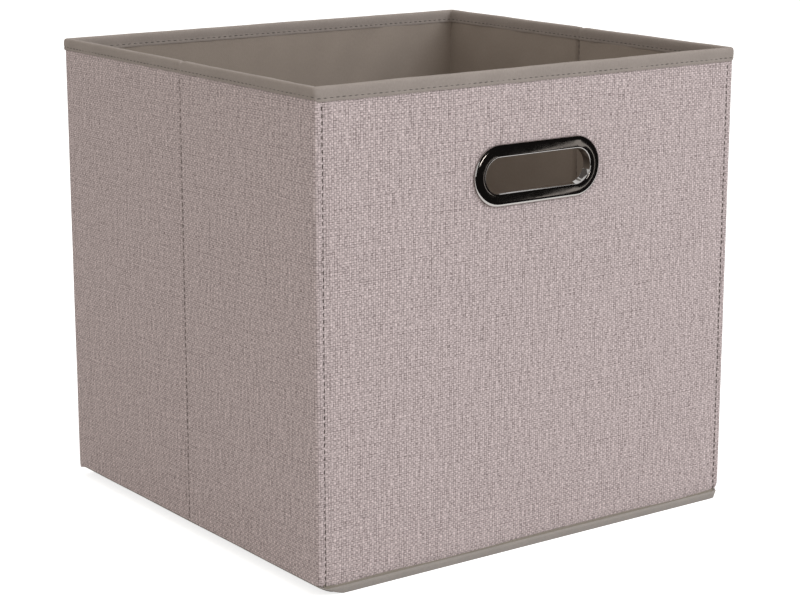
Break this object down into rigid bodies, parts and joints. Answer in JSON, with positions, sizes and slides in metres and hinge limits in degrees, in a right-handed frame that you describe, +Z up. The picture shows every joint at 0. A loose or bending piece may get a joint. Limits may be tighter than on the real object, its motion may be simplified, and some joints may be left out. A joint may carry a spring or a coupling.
{
  "type": "foldable storage box",
  "caption": "Foldable square fabric storage box: board-stiffened walls, side walls that fold inwards, a lift-out bottom board and an oval metal grommet as its hand hole.",
  "frame": {"origin": "under the middle of the open box, on the surface that it stands on", "axes": "+Z up; the wall with the grommet faces -Y; +X to the right as seen from the front"},
  "size_m": [0.3118, 0.2885, 0.29],
  "materials": {
    "linen_cloth": "matte",
    "lining": "matte",
    "binding_tape": "matte",
    "base_cloth": "matte",
    "greyboard": "matte",
    "seam_thread": "matte",
    "binding_thread": "matte",
    "gunmetal": "polished"
  },
  "bodies": {
    "front_panel": {"front_board": "greyboard", "front_cloth": "linen_cloth", "front_lining": "lining", "front_binding": "binding_tape", "front_binding_thread": "binding_thread", "front_corner_threads": "seam_thread", "grommet_face_ring": "gunmetal", "grommet_back_ring": "gunmetal", "base_cloth": "base_cloth"},
    "left_front_half": {"left_front_board": "greyboard", "left_front_cloth": "linen_cloth", "left_front_lining": "lining", "left_front_binding": "binding_tape", "left_front_binding_thread": "binding_thread", "left_fold_thread": "seam_thread"},
    "left_rear_half": {"left_rear_board": "greyboard", "left_rear_cloth": "linen_cloth", "left_rear_lining": "lining", "left_rear_binding": "binding_tape", "left_rear_binding_thread": "binding_thread"},
    "back_panel": {"back_board": "greyboard", "back_cloth": "linen_cloth", "back_lining": "lining", "back_binding": "binding_tape", "back_binding_thread": "binding_thread", "back_corner_threads": "seam_thread"},
    "right_front_half": {"right_front_board": "greyboard", "right_front_cloth": "linen_cloth", "right_front_lining": "lining", "right_front_binding": "binding_tape", "right_front_binding_thread": "binding_thread", "right_fold_thread": "seam_thread"},
    "right_rear_half": {"right_rear_board": "greyboard", "right_rear_cloth": "linen_cloth", "right_rear_lining": "lining", "right_rear_binding": "binding_tape", "right_rear_binding_thread": "binding_thread"},
    "bottom_board": {"base_board_core": "greyboard", "base_board_backing": "lining", "base_board_cover": "lining"}
  },
  "joints": [
    {"name": "left_front_corner_fold", "type": "hinge", "parent": "front_panel", "child": "left_front_half", "pos_m": [-0.1505, -0.138, 0.147], "axis": [0, 0, -1], "range_deg": [0, 89]},
    {"name": "left_middle_fold", "type": "hinge", "parent": "left_front_half", "child": "left_rear_half", "pos_m": [-0.1561, 0, 0.147], "axis": [0, 0, 1], "range_deg": [0, 178]},
    {"name": "left_rear_corner_fold", "type": "hinge", "parent": "left_rear_half", "child": "back_panel", "pos_m": [-0.1505, 0.138, 0.147], "axis": [0, 0, -1], "range_deg": [0, 89]},
    {"name": "right_front_corner_fold", "type": "hinge", "parent": "front_panel", "child": "right_front_half", "pos_m": [0.1505, -0.138, 0.147], "axis": [0, 0, 1], "range_deg": [0, 89]},
    {"name": "right_middle_fold", "type": "hinge", "parent": "right_front_half", "child": "right_rear_half", "pos_m": [0.1561, 0, 0.147], "axis": [0, 0, -1], "range_deg": [0, 178]},
    {"name": "bottom_board_lift", "type": "slide", "parent": "front_panel", "child": "bottom_board", "axis": [0, 0, 1], "range_m": [0, 0.3]}
  ],
  "couplings": [
    {"joint": "left_middle_fold", "follows": "left_front_corner_fold", "ratio": 2},
    {"joint": "left_rear_corner_fold", "follows": "left_front_corner_fold", "ratio": 1},
    {"joint": "right_front_corner_fold", "follows": "left_front_corner_fold", "ratio": 1},
    {"joint": "right_middle_fold", "follows": "left_front_corner_fold", "ratio": 2}
  ]
}
